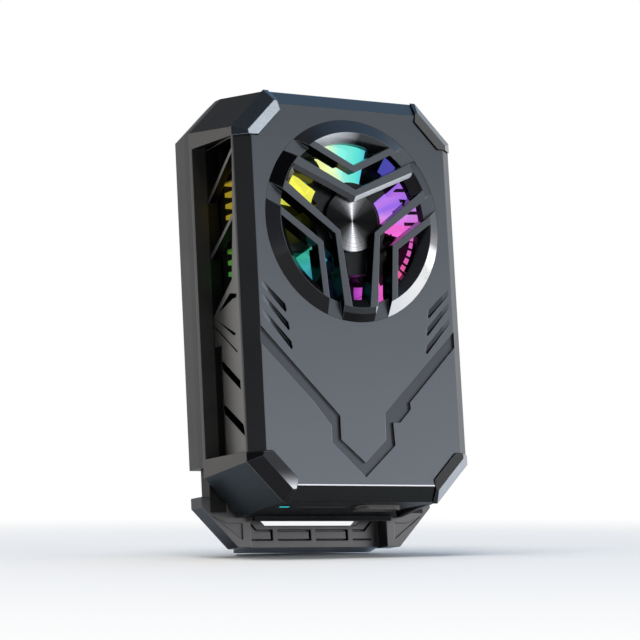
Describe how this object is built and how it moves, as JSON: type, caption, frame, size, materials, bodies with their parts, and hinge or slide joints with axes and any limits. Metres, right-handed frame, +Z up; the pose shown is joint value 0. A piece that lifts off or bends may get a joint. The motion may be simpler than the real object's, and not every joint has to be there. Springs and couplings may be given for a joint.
{
  "type": "phone cooling fan",
  "caption": "Clip-on thermoelectric phone cooler: chamfered box with a three-armed fan grille, vented sides, lit rotor and a spring-loaded lower jaw.",
  "frame": {"origin": "centre of the cold contact face (the outer face of the thermal pad, where the phone lies)", "axes": "+X across the body to the right seen from the grille, +Y out of the cold face towards the phone (the grille faces -Y), +Z up towards the fixed hook, the jaw at -Z"},
  "size_m": [0.052, 0.0363, 0.0873],
  "materials": {
    "cover_grey": "satin dark grey lacquer on moulded plastic",
    "guard_dark": "satin near-black with polished facets",
    "frame_grey": "satin charcoal",
    "vent_grey": "satin grey",
    "rear_grey": "fine matte charcoal",
    "pad_grey": "soft matte",
    "bare_aluminium": "machined",
    "ceramic_white": null,
    "pellet_metal": "dull grey",
    "foam_black": "matte foam",
    "screw_steel": "zinc plated",
    "fan_black": "matte black",
    "bearing_brass": "sintered",
    "board_green": "solder resist",
    "winding_copper": "enamelled copper wire",
    "blade_gloss": "glossy black",
    "magnet_grey": "matte",
    "hub_steel": "circular brushed",
    "light_plastic": "translucent diffuser, lit",
    "chip_white": "gloss",
    "board_black": "matte black",
    "chip_black": "gloss black",
    "socket_steel": "plated",
    "light_cyan": "lit cyan light pipe",
    "jaw_grey": "satin grey",
    "grip_rubber": "matte rubber",
    "rail_grey": "satin charcoal"
  },
  "bodies": {
    "housing": {"front_cover": "cover_grey", "fan_guard": "guard_dark", "corner_guard_top_left": "guard_dark", "corner_guard_top_right": "guard_dark", "corner_guard_bottom_left": "guard_dark", "corner_guard_bottom_right": "guard_dark", "middle_frame": "frame_grey", "side_vent_left": "vent_grey", "side_vent_right": "vent_grey", "rear_cover": "rear_grey", "thermal_pad": "pad_grey", "cold_plate": "bare_aluminium", "peltier_cold_ceramic": "ceramic_white", "peltier_pellets": "pellet_metal", "peltier_hot_ceramic": "ceramic_white", "insulation_foam": "foam_black", "heat_sink": "bare_aluminium", "heat_sink_screws": "screw_steel", "fan_frame": "fan_black", "fan_screws": "screw_steel", "fan_bearing": "bearing_brass", "fan_board": "board_green", "stator_core": "screw_steel", "stator_windings": "winding_copper", "light_ring": "light_plastic", "light_chips": "chip_white", "light_board": "board_black", "control_board": "board_green", "board_screws": "screw_steel", "board_chips": "chip_black", "usb_shell": "socket_steel", "usb_tongue": "chip_black", "indicator_light": "light_cyan", "case_screws": "screw_steel", "back_screws": "screw_steel", "clamp_spring_left": "screw_steel", "clamp_spring_right": "screw_steel", "upper_hook": "jaw_grey", "hook_screws": "screw_steel", "hook_pad": "grip_rubber"},
    "rotor": {"fan_rotor": "blade_gloss", "rotor_yoke": "screw_steel", "rotor_magnet": "magnet_grey", "fan_shaft": "screw_steel", "hub_cap": "hub_steel"},
    "jaw": {"lower_jaw": "jaw_grey", "jaw_pad": "grip_rubber", "jaw_rail_left": "rail_grey", "jaw_rail_right": "rail_grey", "jaw_screws": "screw_steel"}
  },
  "joints": [
    {"name": "fan_spin", "type": "hinge", "parent": "housing", "child": "rotor", "pos_m": [0, -0.02, 0.0145], "axis": [0, -1, 0], "continuous": true},
    {"name": "jaw_slide", "type": "slide", "parent": "housing", "child": "jaw", "axis": [0, 0, -1], "range_m": [0, 0.018], "stiffness_N_per_m": 200, "springref_m": -0.02, "deforming": ["clamp_spring_left", "clamp_spring_right"]}
  ]
}
